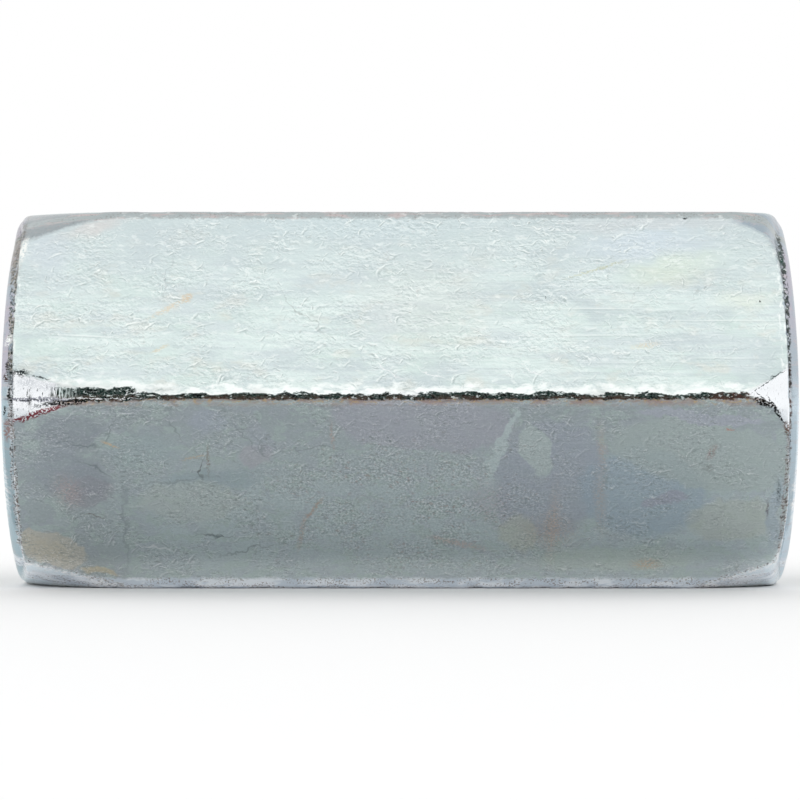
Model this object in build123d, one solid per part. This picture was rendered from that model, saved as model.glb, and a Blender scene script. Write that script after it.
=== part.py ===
from build123d import *
import math
import os

# Hexagon coupling nut for M16 x 2 rod, turned from drawn hexagon bar and tapped right
# through. Millimetres. The thread axis is X, and the nut lies on one wrench flat, so
# +Z is up and one long edge of the hexagon points along -Y. The origin is the middle
# of the thread axis. The thread is left as a plain bore at its tapping size.

# Drawn hexagon bar
length = 49.5  # a 50 mm nut, sawn and faced a little short
across_flats = 24.0
bar_edge_radius = 0.7  # the rolled long edges of the bar

# Tapped hole, open at both ends
tapping_diameter = 14.0  # M16 x 2
countersink_width = 1.5  # on the radius, outside the hole
countersink_angle = 120.0  # included angle

# Washer face, a low round collar turned on each end
washer_face_inset = 0.1  # on the radius, inside the flats
washer_face_height = 0.6
washer_face_rim = 0.25  # rounding of its outer edge

# Corner chamfer behind the washer face, measured from the end face
chamfer_angle = 30.0

# Shallow taper behind the chamfer, long on the -X end and short on the +X end
left_taper_inset = 0.8  # on the radius, inside the sharp corner of the hexagon
left_taper_angle = 6.5
right_taper_inset = 0.9
right_taper_angle = 17.0

# Sizes that follow
half_length = length / 2
flat_radius = across_flats / 2
corner_radius = across_flats / math.sqrt(3)  # sharp corner of the hexagon
clear_radius = corner_radius + 1.0  # outside the bar all round
bore_radius = tapping_diameter / 2
mouth_radius = bore_radius + countersink_width
mouth_depth = countersink_width / math.tan(math.radians(countersink_angle / 2))
collar_radius = flat_radius - washer_face_inset


def hexagon_bar():
    """The drawn bar, cut to length, with rounded long edges."""
    section = Plane.YZ * RegularPolygon(flat_radius, 6, major_radius=False)
    section = fillet(section.vertices(), bar_edge_radius)
    return extrude(section, half_length, both=True)


def turned_end(end, taper_inset, taper_angle):
    """X and radius of each turned corner of one end, from the mouth outwards."""
    taper_radius = corner_radius - taper_inset
    chamfer_depth = (taper_radius - collar_radius) * math.tan(math.radians(chamfer_angle))
    taper_length = (clear_radius - taper_radius) / math.tan(math.radians(taper_angle))
    taper_start = washer_face_height + chamfer_depth
    depths_and_radii = [
        (mouth_depth, bore_radius),
        (0, mouth_radius),
        (0, collar_radius),
        (washer_face_height, collar_radius),
        (taper_start, taper_radius),
        (taper_start + taper_length, clear_radius),
    ]
    return [(end * (half_length - depth), radius) for depth, radius in depths_and_radii]


def turned_blank():
    """All that the lathe, the drill and the countersink leave, as one turned shape."""
    left = turned_end(-1, left_taper_inset, left_taper_angle)
    right = turned_end(1, right_taper_inset, right_taper_angle)
    section = Plane.XZ * make_face(Polyline(*left, *reversed(right), close=True))
    face_corners = section.vertices().filter_by(lambda v: abs(abs(v.X) - half_length) < 1e-6)
    rims = face_corners.sort_by(Axis.Z)[-2:]
    section = fillet(rims, washer_face_rim)
    return revolve(section, Axis.X)


coupling_nut = hexagon_bar() & turned_blank()

os.makedirs("parts", exist_ok=True)
export_step(coupling_nut, "parts/coupling_nut.step")
print("coupling_nut", round(coupling_nut.volume, 1), "mm3", coupling_nut.bounding_box())
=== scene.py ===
import math

import bmesh
import bpy
from mathutils import Matrix, Vector, noise


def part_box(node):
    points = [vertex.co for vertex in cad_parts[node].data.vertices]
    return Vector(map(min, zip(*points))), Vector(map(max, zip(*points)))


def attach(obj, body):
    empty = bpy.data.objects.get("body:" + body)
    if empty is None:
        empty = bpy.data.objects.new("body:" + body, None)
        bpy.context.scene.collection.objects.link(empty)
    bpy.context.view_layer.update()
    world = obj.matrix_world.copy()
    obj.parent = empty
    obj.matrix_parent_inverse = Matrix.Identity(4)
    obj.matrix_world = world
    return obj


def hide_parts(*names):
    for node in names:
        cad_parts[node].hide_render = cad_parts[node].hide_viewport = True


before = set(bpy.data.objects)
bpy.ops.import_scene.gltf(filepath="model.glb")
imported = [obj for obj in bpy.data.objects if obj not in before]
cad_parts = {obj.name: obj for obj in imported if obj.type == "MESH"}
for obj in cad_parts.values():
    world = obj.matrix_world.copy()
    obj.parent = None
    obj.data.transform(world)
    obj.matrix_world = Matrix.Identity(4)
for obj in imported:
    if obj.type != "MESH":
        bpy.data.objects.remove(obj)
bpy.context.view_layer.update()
nutLow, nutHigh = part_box("coupling_nut")
mm = 0.001
halfLength = (nutHigh.x - nutLow.x) / 2
flatRadius = (nutHigh.z - nutLow.z) / 2
cornerRadius = flatRadius / math.cos(math.radians(30))
flatWidth = cornerRadius  # a hexagon's side is as long as its corner radius
sixth = math.radians(60)  # turn from one flat to the next
print("frame loaded")


# The nut, in metres: drawn hexagon bar, turned ends, tapped hole
barShape = {
    "edgeRadius": 0.7 * mm,  # rolled long edges
    "edgeSegments": 8,
    "flatSegments": 38,  # across one wrench flat, closer together towards its edges
    "firstRing": 0.05 * mm,  # spacing of the rings of vertices at the end faces
    "ringGrowth": 1.045,
    "widestRing": 0.27 * mm,
    "crowding": 1.3,  # how much closer together the places lie beside the long edges
    "borderReach": 5.0,  # mm, how far from the turned border the distance to it is kept
    "sharpAngle": 32,  # degrees
}
# Each turned end, at turns from the front edge (degrees, upwards positive): the collar's radius and height,
# the slope of the steep shoulder behind it, the taper's radius at the face and its slope, how softly shoulder
# and taper meet, and the rounding of the rim. In mm, and mm of radius for each mm of depth. The bar ran a
# little out of true in the lathe, so the ends are not the same all round.
endShape = {
    -1: [(-75, 11.99, 0.2, 1.2, 12.1, 0.35, 0.2, 0.3),
         (-56, 11.95, 0.7, 4.0, 12.84, 0.12, 0.5, 0.62),
         (-35, 11.92, 0.76, 6.0, 12.9, 0.12, 0.3, 0.66),
         (-2, 11.92, 0.73, 6.0, 13.02, 0.13, 0.2, 0.55),
         (2, 11.92, 0.73, 6.0, 12.83, 0.135, 0.2, 0.5),
         (35, 11.92, 0.68, 6.0, 12.75, 0.15, 0.3, 0.74),
         (56, 11.95, 0.62, 6.0, 12.72, 0.165, 0.3, 0.9),
         (72, 11.99, 0.2, 1.2, 12.36, 0.27, 0.2, 0.4)],
    1: [(-75, 11.99, 0.15, 1.8, 12.5, 0.28, 0.2, 0.12),
        (-56, 11.97, 0.5, 2.4, 12.82, 0.16, 0.9, 0.28),
        (-35, 11.95, 0.5, 3.0, 12.8, 0.17, 0.6, 0.48),
        (-2, 11.92, 0.62, 6.0, 12.39, 0.65, 0.2, 0.46),
        (2, 11.92, 0.66, 6.0, 12.64, 0.28, 0.2, 0.46),
        (35, 11.95, 0.74, 3.0, 12.7, 0.25, 0.5, 0.8),
        (56, 11.97, 0.74, 1.9, 12.75, 0.22, 0.9, 0.76),
        (72, 11.99, 0.2, 1.4, 12.6, 0.72, 0.2, 0.45)],
}
endSoftness = {  # how far surfaces round into each other
    "collar": 0.05 * mm,
    "front": 0.06 * mm,  # turned into drawn, beside the front edge
    "far": 0.3 * mm,  # and on the far corners, which start and end at these turns
    "farTurns": (math.radians(40), math.radians(53)),
}
threadShape = {
    "pitch": 2.0 * mm,
    "crestRadius": 7.0 * mm,
    "rootRadius": 8.0 * mm,
    "section": [(-0.5, 1.02), (-0.43, 0.96), (-0.37, 0.8), (-0.19, 0.12), (-0.13, 0.0)],  # half a pitch
    "stepsPerTurn": 72,
    "countersinkWidth": 1.5 * mm,
    "countersinkSlope": math.tan(math.radians(60)),
    "softness": 0.08 * mm,
    "mergeDistance": 0.02 * mm,
}
knocks = {
    "waveDepth": 0.012 * mm,  # the flats are not quite flat
    "waveLength": 7 * mm,
    "nickDepth": 0.14 * mm,  # handling damage along the long edges
    "nickLength": 1.1 * mm,
    "nickWidth": 0.55 * mm,
    "nickStart": 0.12,  # noise above which there is a nick
    # place along and round the nut, size along and round it, depth, all mm; round it starts at the front edge
    "dents": [(-18.6, 0.55, 2.6, 0.45, 0.1), (-14.6, 0.4, 1.2, 0.35, 0.08), (-21.4, -0.3, 1.6, 0.3, 0.04),
              (-8.7, 0.35, 0.6, 0.35, 0.08), (3.1, 0.3, 0.9, 0.3, 0.07), (12.4, 0.25, 1.4, 0.3, 0.06),
              (22.0, -0.5, 0.7, 0.4, 0.07), (-7.5, 13.4, 0.9, 0.4, 0.06), (-19.0, 13.3, 0.7, 0.5, 0.08)],
}


def addMesh(name, bm):
    # turns a finished bmesh into a mesh
    mesh = bpy.data.meshes.new(name)
    bm.to_mesh(mesh)
    bm.free()
    return mesh


def addObject(name, data):
    # puts a mesh, lamp or camera into the scene
    thing = bpy.data.objects.new(name, data)
    bpy.context.scene.collection.objects.link(thing)
    return thing


def softMin(a, b, width):
    # the smaller of two numbers, the one running softly into the other
    mix = max(0.0, min(1.0, 0.5 + 0.5 * (b - a) / width))
    return b + (a - b) * mix - width * mix * (1 - mix)


def smoothStep(low, high, value):
    t = max(0.0, min(1.0, (value - low) / (high - low)))
    return t * t * (3 - 2 * t)


def turnedRadius(depth, end, turn):
    # radius that the lathe leaves at a depth behind one end face, at a turn from the front edge
    turn = math.degrees(turn)
    shapes = endShape[end]
    before = max([s for s in shapes if s[0] <= turn] or shapes[:1])
    after = min([s for s in shapes if s[0] > turn] or shapes[-1:])
    mix = smoothStep(before[0], max(after[0], before[0] + 1), turn)
    between = [a + (b - a) * mix for a, b in zip(before[1:], after[1:])]
    collar, height, shoulder, taper, slope, rounding, rim = between
    collar, rim = collar * mm, rim * mm
    if depth < rim:
        collar += math.sqrt(rim**2 - (rim - depth) ** 2) - rim
    behind = collar + (depth - height * mm) * shoulder
    outside = softMin(behind, taper * mm + depth * slope, rounding * mm)
    return -softMin(-collar, -outside, endSoftness["collar"])


def ringPlaces():
    # X of each ring of vertices, close together at the ends
    depths = [0.0]
    spacing = barShape["firstRing"]
    while depths[-1] + 1.5 * spacing < halfLength:
        depths.append(depths[-1] + spacing)
        spacing = min(spacing * barShape["ringGrowth"], barShape["widestRing"])
    left = [d - halfLength for d in depths]
    return left + [0.0] + [-x for x in reversed(left)]


def flatPlace(y, z):
    # which wrench flat a place lies on, counted from the front edge, and how far from that flat's middle
    turn = math.atan2(z, -y)
    flat = math.floor(turn / sixth)
    return flat, flatRadius * math.tan(turn - sixth * (flat + 0.5))


def roundPlace(y, z):
    # distance round the hexagon from its front edge, positive over the top
    flat, across = flatPlace(y, z)
    return flatWidth * (flat + 0.5) + across


def knockDepth(x, around):
    # how far wear and handling pushed the skin in
    toEdge = abs((around + flatWidth / 2) % flatWidth - flatWidth / 2)
    edge = round(around / flatWidth)
    wave = noise.noise(Vector((x, around, 0)) / knocks["waveLength"])
    depth = knocks["waveDepth"] * (0.5 + 0.5 * wave) * min(1, toEdge / mm)
    nick = noise.noise(Vector((x / knocks["nickLength"], 7.3 * edge, 1.7)))
    nick += 0.5 * noise.noise(Vector((2.7 * x / knocks["nickLength"], 3.1 * edge, 5.2)))
    nearEdge = math.exp(-((toEdge / knocks["nickWidth"]) ** 2))
    depth += knocks["nickDepth"] * max(0, nick - knocks["nickStart"]) * nearEdge
    for dentX, dentAround, long, wide, deep in knocks["dents"]:
        away = ((x / mm - dentX) / long) ** 2 + ((around / mm - dentAround) / wide) ** 2
        if away < 5:
            depth += deep * mm * math.exp(-away)
    return depth


def crowdEdges(y, z):
    # moves a place across its flat, so that the places lie closer together beside the long edges
    flat, across = flatPlace(y, z)
    middle = sixth * (flat + 0.5)
    flatHalf = flatWidth / 2 - barShape["edgeRadius"] * math.tan(sixth / 2)
    if abs(across) >= flatHalf:
        return y, z
    crowding = barShape["crowding"]
    across = flatHalf * math.sin(crowding * across / flatHalf) / math.sin(crowding)
    return (-flatRadius * math.cos(middle) + across * math.sin(middle),
            flatRadius * math.sin(middle) + across * math.cos(middle))


def makeBar():
    # the drawn bar as an open tube, its ends turned down vertex by vertex
    bm = bmesh.new()
    lengthwise = Matrix.Rotation(math.radians(90), 4, "Y")
    bmesh.ops.create_cone(bm, cap_ends=False, segments=6, radius1=cornerRadius, radius2=cornerRadius,
                          depth=2 * halfLength, matrix=lengthwise)
    longEdges = [e for e in bm.edges if not e.is_boundary]
    bmesh.ops.bevel(bm, geom=longEdges, affect="EDGES", offset_type="OFFSET",
                    offset=barShape["edgeRadius"] * math.tan(sixth / 2),
                    segments=barShape["edgeSegments"], profile=0.5, material=-1)
    flatEnds = [e for e in bm.edges if e.is_boundary and e.calc_length() > barShape["edgeRadius"]]
    bmesh.ops.subdivide_edges(bm, edges=flatEnds, cuts=barShape["flatSegments"] - 1)
    places = ringPlaces()
    alongX = [e for e in bm.edges if abs(e.verts[0].co.x - e.verts[1].co.x) > halfLength]
    bmesh.ops.subdivide_edges(bm, edges=alongX, cuts=len(places) - 2)
    edgeDistance = bm.verts.layers.float.new("edgeDistance")
    for v in bm.verts:
        ring = round((v.co.x + halfLength) / (2 * halfLength) * (len(places) - 1))
        x = places[ring]
        depth = halfLength - abs(x)
        end = -1 if x < 0 else 1
        v.co.y, v.co.z = crowdEdges(v.co.y, v.co.z)
        barRadius = math.hypot(v.co.y, v.co.z)
        turn = math.atan2(v.co.z, -v.co.y)
        turned = turnedRadius(depth, end, turn)
        around = roundPlace(v.co.y, v.co.z)
        # distance from the border between turned and drawn surface, in mm, positive on the turned side
        step = 0.02 * mm
        slopeAlong = (turnedRadius(depth + step, end, turn) - turned) / step
        slopeRound = (around % flatWidth - flatWidth / 2) / barRadius
        distance = (barRadius - turned) / mm / max(0.05, math.hypot(slopeAlong, slopeRound))
        v[edgeDistance] = max(-barShape["borderReach"], min(barShape["borderReach"], distance))
        farther = smoothStep(*endSoftness["farTurns"], abs(turn))
        softness = endSoftness["front"] + (endSoftness["far"] - endSoftness["front"]) * farther
        radius = softMin(barRadius, turned, softness) - knockDepth(x, around)
        v.co = Vector((x, v.co.y * radius / barRadius, v.co.z * radius / barRadius))
    return bm


def makeThread():
    # the thread's section for the whole length, spun one turn so that each pitch meets the next
    t = threadShape
    bm = bmesh.new()
    pitches = math.ceil(2 * halfLength / t["pitch"]) + 2
    half = t["section"]
    section = half + [(-x, r) for x, r in reversed(half[1:])]
    depth = t["rootRadius"] - t["crestRadius"]
    profile = [((p + x - pitches / 2) * t["pitch"], t["crestRadius"] + r * depth)
               for p in range(pitches) for x, r in section]
    chain = [bm.verts.new((x, 0, r)) for x, r in profile]
    edges = [bm.edges.new(pair) for pair in zip(chain, chain[1:])]
    bmesh.ops.spin(bm, geom=chain + edges, axis=(1, 0, 0), cent=(0, 0, 0), angle=2 * math.pi,
                   dvec=(t["pitch"] / t["stepsPerTurn"], 0, 0), steps=t["stepsPerTurn"], use_merge=False)
    bmesh.ops.remove_doubles(bm, verts=bm.verts, dist=t["mergeDistance"])
    for end in (-1, 1):
        bmesh.ops.bisect_plane(bm, geom=bm.verts[:] + bm.edges[:] + bm.faces[:], dist=0.001 * mm,
                               plane_co=(end * halfLength, 0, 0), plane_no=(end, 0, 0), clear_outer=True)
    mouth = t["crestRadius"] + t["countersinkWidth"]
    for v in bm.verts:
        radius = math.hypot(v.co.y, v.co.z)
        cone = mouth - (halfLength - abs(v.co.x)) * t["countersinkSlope"]
        widened = -softMin(-radius, -cone, t["softness"]) if cone > radius - t["softness"] else radius
        v.co.y *= widened / radius
        v.co.z *= widened / radius
    for face in bm.faces:
        face.material_index = 2
    return addMesh("thread", bm)


def unroll(bm):
    # a map in mm: along the nut, and round it from the front edge
    unrolled = bm.loops.layers.uv.new("unrolled")
    girth = 6 * flatWidth
    for face in bm.faces:
        middle = face.calc_center_median()
        middlePlace = roundPlace(middle.y, middle.z)
        for loop in face.loops:
            place = roundPlace(loop.vert.co.y, loop.vert.co.z)
            place += girth * round((middlePlace - place) / girth)
            loop[unrolled].uv = (loop.vert.co.x / mm, place / mm)


def makeNut():
    bm = makeBar()
    print("bar drawn and turned")
    thread = makeThread()
    bm.from_mesh(thread)
    bpy.data.meshes.remove(thread)
    for end in (-1, 1):
        rims = [e for e in bm.edges if e.is_boundary and e.verts[0].co.x * end > halfLength * 0.999]
        endFace = bmesh.ops.bridge_loops(bm, edges=rims)
        for face in endFace["faces"]:
            face.material_index = 1
    bmesh.ops.recalc_face_normals(bm, faces=bm.faces)
    unroll(bm)
    triangles = sum(len(f.verts) - 2 for f in bm.faces)
    openEdges = sum(1 for e in bm.edges if not e.is_manifold)
    print("nut mesh:", triangles, "triangles,", openEdges, "open edges")
    mesh = addMesh("couplingNut", bm)
    mesh.shade_smooth()
    mesh.set_sharp_from_angle(angle=math.radians(barShape["sharpAngle"]))
    return addObject("couplingNut", mesh)


def linear(hexColour):
    # sRGB hex to linear RGBA
    channels = [int(hexColour[i:i + 2], 16) / 255 for i in (1, 3, 5)]
    return tuple(c / 12.92 if c <= 0.04045 else ((c + 0.055) / 1.055) ** 2.4 for c in channels) + (1.0,)


def addNode(tree, kind, settings=None, links=None):
    # adds one node with its settings and links, and gives back its first output in use
    node = tree.nodes.new("ShaderNode" + kind)

    def socket(name):
        if isinstance(name, int):
            return node.inputs[name]
        return next(s for s in node.inputs if s.enabled and s.name == name)

    for name, value in (settings or {}).items():
        if isinstance(name, str) and hasattr(node, name):
            setattr(node, name, value)
        else:
            socket(name).default_value = value
    for name, source in (links or {}).items():
        tree.links.new(source, socket(name))
    return next(s for s in node.outputs if s.enabled)


def within(t, *limits):
    # how far a place lies inside all the limits, 0 to 1. A limit is a mask, a plain share, or a field with
    # the values where its mask starts and ends, and the mask at those two if it isn't 0 and 1
    inside = None
    for limit in limits:
        if isinstance(limit, tuple):
            field, start, end, *ends = limit
            least, most = ends or (0.0, 1.0)
            settings = {"From Min": start, "From Max": end, "To Min": least, "To Max": most}
            limit = addNode(t, "MapRange", settings, {"Value": field})
        if inside is None:
            inside = limit
        elif isinstance(limit, float):
            inside = addNode(t, "Math", {"operation": "MULTIPLY", 1: limit}, {0: inside})
        else:
            inside = addNode(t, "Math", {"operation": "MULTIPLY"}, {0: inside, 1: limit})
    return inside


def lay(t, under, over, *limits):
    # one colour over another inside all the limits. A colour is a hex value or comes from other nodes
    settings = {"data_type": "RGBA"}
    links = {"Factor": within(t, *limits)}
    for name, colour in (("A", under), ("B", over)):
        if isinstance(colour, str):
            settings[name] = linear(colour)
        else:
            links[name] = colour
    return addNode(t, "Mix", settings, links)


def ragged(t, place, size, amount, seed=0.0):
    # the place, shifted here and there by up to about amount, so that an edge drawn on it comes out ragged
    moved = addNode(t, "Mapping", {"Location": (seed, -seed, 0)}, {"Vector": place})
    shift = addNode(t, "TexNoise", {"noise_dimensions": "2D", "Scale": 1 / size, "Detail": 3.0,
                                    "Roughness": 0.65}, {"Vector": moved})
    centred = addNode(t, "VectorMath", {"operation": "SUBTRACT", 1: (0.5, 0.5, 0.5)},
                      {0: shift.node.outputs["Color"]})
    shifted = addNode(t, "VectorMath", {"operation": "MULTIPLY_ADD", 1: (2 * amount, 2 * amount, 0)},
                      {0: centred, 2: place})
    return addNode(t, "Mapping", None, {"Vector": shifted})


def blotches(t, place, size, low, high, seed=0.0, most=1.0):
    # irregular patches of about a size along and round the nut, in mm: 0 outside, the most inside
    stretched = addNode(t, "Mapping", {"vector_type": "TEXTURE", "Location": (seed, -seed, 0),
                                       "Scale": (*size, 1)}, {"Vector": place})
    field = addNode(t, "TexNoise", {"noise_dimensions": "2D", "Scale": 1.0, "Detail": 3.0, "Roughness": 0.6},
                    {"Vector": stretched})
    return within(t, (field, low, high, 0.0, most))


def patch(t, place, spot):
    # how much of one stain lies at a place: an ellipse whose edge follows the place's raggedness.
    # A spherical gradient gives the distance, because it needs no change of socket type: many such
    # changes in one material use up the renderer's stack
    x, y, long, wide, turn, soft, strength = spot
    local = addNode(t, "Mapping", {"vector_type": "TEXTURE", "Location": (x, y, 0),
                                   "Scale": (2 * long, 2 * wide, 1), "Rotation": (0, 0, math.radians(turn))},
                    {"Vector": place})
    near = addNode(t, "TexGradient", {"gradient_type": "SPHERICAL"}, {"Vector": local}).node.outputs["Fac"]
    return addNode(t, "MapRange", {"interpolation_type": "SMOOTHSTEP", "From Min": 0.5 - soft / 2,
                                   "From Max": 0.5 + soft / 2, "To Max": strength}, {"Value": near})


def marks(t, place, m):
    # short curved marks, at most one in each cell: how raised a place is, and how shaded just below, 0 to 1
    grid = addNode(t, "Mapping", {"vector_type": "TEXTURE", "Location": (m["seed"], m["seed"], 0),
                                  "Scale": (*m["cell"], 1)}, {"Vector": place})
    cell = addNode(t, "TexVoronoi", {"voronoi_dimensions": "2D", "Scale": 1.0}, {"Vector": grid}).node
    fromMiddle = addNode(t, "VectorMath", {"operation": "SUBTRACT"}, {0: grid, 1: cell.outputs["Position"]})
    inMm = addNode(t, "VectorMath", {"operation": "MULTIPLY", 1: (*m["cell"], 0)}, {0: fromMiddle})
    chance = addNode(t, "SeparateColor", None, {0: cell.outputs["Color"]}).node.outputs
    tilt = math.radians(m["tilt"])
    angle = addNode(t, "Math", {"operation": "MULTIPLY_ADD", 1: 2 * tilt, 2: -tilt - math.radians(m["lean"])},
                    {0: chance[0]})
    turned = addNode(t, "VectorRotate", {"rotation_type": "Z_AXIS"}, {"Vector": inMm, "Angle": angle})
    along, across, _ = addNode(t, "SeparateXYZ", None, {0: turned}).node.outputs
    squared = addNode(t, "Math", {"operation": "MULTIPLY"}, {0: along, 1: along})
    bend = addNode(t, "Math", {"operation": "MULTIPLY_ADD", 1: 2 * m["bend"], 2: -m["bend"]}, {0: chance[1]})
    offLine = addNode(t, "Math", {"operation": "MULTIPLY_ADD"}, {0: squared, 1: bend, 2: across})
    fromMid = addNode(t, "Math", {"operation": "ABSOLUTE"}, {0: along})
    fromMid = within(t, fromMid, (chance[1], 0.0, 1.0, 2.2, 0.9))  # so that some marks are short
    long = addNode(t, "MapRange", {"interpolation_type": "SMOOTHSTEP", "From Min": m["length"],
                                   "From Max": 0.3 * m["length"]}, {"Value": fromMid})
    there = within(t, long, (chance[2], m["share"], 0.7 * m["share"]))
    both = []
    for middle in (0, 1.8 * m["width"]):
        off = addNode(t, "Math", {"operation": "ADD", 1: middle}, {0: offLine})
        off = addNode(t, "Math", {"operation": "ABSOLUTE"}, {0: off})
        wide = addNode(t, "MapRange", {"interpolation_type": "SMOOTHSTEP", "From Min": m["width"],
                                       "From Max": 0.0}, {"Value": off})
        both.append(within(t, wide, there))
    return both


# Stains in the clear passivation film: x, y, half length, half width (mm), turn, softness, strength, colour.
# x runs along the nut, y round it from the front edge, positive upwards.
filmStains = [
    (-11.6, -5.7, 2.9, 0.6, 3, 0.4, 0.6, "#B2C1C6"),
    (-13.0, -7.3, 3.3, 1.4, 0, 0.15, 0.5, "#D0D7D1"),
    (-20.4, -2.3, 2.2, 1.1, 8, 0.2, 0.6, "#A2A7B0"),
    (-20.7, -5.4, 2.7, 1.7, -24, 0.2, 0.55, "#A6ABB5"),
    (-19.4, -6.7, 1.6, 1.0, 0, 0.15, 0.6, "#ABA9B2"),
    (-16.2, -3.6, 2.0, 1.2, 0, 0.5, 0.5, "#BACACB"),
    (-11.8, -1.6, 1.1, 0.9, 10, 0.3, 0.55, "#BDC3D0"),
    (-8.8, -4.1, 1.1, 0.85, 20, 0.2, 0.65, "#C7C4CB"),
    (-8.6, -2.6, 0.6, 1.4, 28, 0.3, 0.5, "#BEC2CC"),
    (1.4, -1.6, 5.6, 2.0, -5, 0.1, 0.75, "#BFBFC9"),
    (9.2, -5.6, 3.4, 4.3, -8, 0.1, 0.7, "#B6BBC7"),
    (15.2, -6.7, 4.0, 3.2, -14, 0.1, 0.7, "#B3C3CF"),
    (19.0, -4.0, 6.0, 2.3, -14, 0.08, 0.75, "#C2CDCA"),
    (16.6, -7.2, 1.3, 0.5, 18, 0.2, 0.6, "#BAB6C6"),
    (18.5, -1.25, 3.8, 0.42, -7, 0.1, 0.8, "#C1C4CF"),
    (6.2, -3.5, 0.35, 2.7, -18, 0.15, 0.8, "#D3DFDE"),
    (8.4, -3.5, 0.85, 1.9, 16, 0.1, 0.85, "#CCD7D4"),
    (7.4, -9.6, 1.1, 1.3, 0, 0.2, 0.6, "#CFD2C3"),
    (21.0, -8.7, 3.0, 1.6, 0, 0.15, 0.6, "#CCD1C8"),
    (13.6, -11.6, 5.4, 0.9, 2, 0.3, 0.5, "#CBD5CB"),
    (23.5, -8.0, 0.45, 2.3, 0, 0.4, 0.6, "#B7C5D2"),
    (-21.9, -10.9, 2.25, 1.35, -22, 0.08, 0.85, "#D3CEC2"),
    (-22.5, -10.8, 1.6, 0.7, -24, 0.4, 0.4, "#DACFB8"),
    (-19.0, -12.5, 1.0, 0.3, -5, 0.3, 0.6, "#D8C8A4"),
    (16.8, 9.5, 2.6, 1.2, 12, 0.7, 0.5, "#DFEBD8"),
    (15.6, 11.4, 3.4, 1.1, 4, 0.7, 0.7, "#CFDBE4"),
    (16.0, 13.0, 5.2, 0.6, 2, 0.6, 0.7, "#CDD3D6"),
    (21.6, 7.2, 1.6, 0.6, 6, 0.8, 0.5, "#E6ECDD"),
    (-22.2, 10.8, 1.3, 1.5, 40, 0.6, 0.7, "#CED8DE"),
    (-19.4, 12.7, 1.9, 0.5, 20, 0.8, 0.5, "#DCD3D0"),
    (1.6, 6.8, 3.6, 2.8, 0, 0.8, 0.3, "#DCDFDA"),
    (-3.0, 12.6, 6.0, 0.8, 0, 0.8, 0.6, "#CCDBDE"),
]

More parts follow.
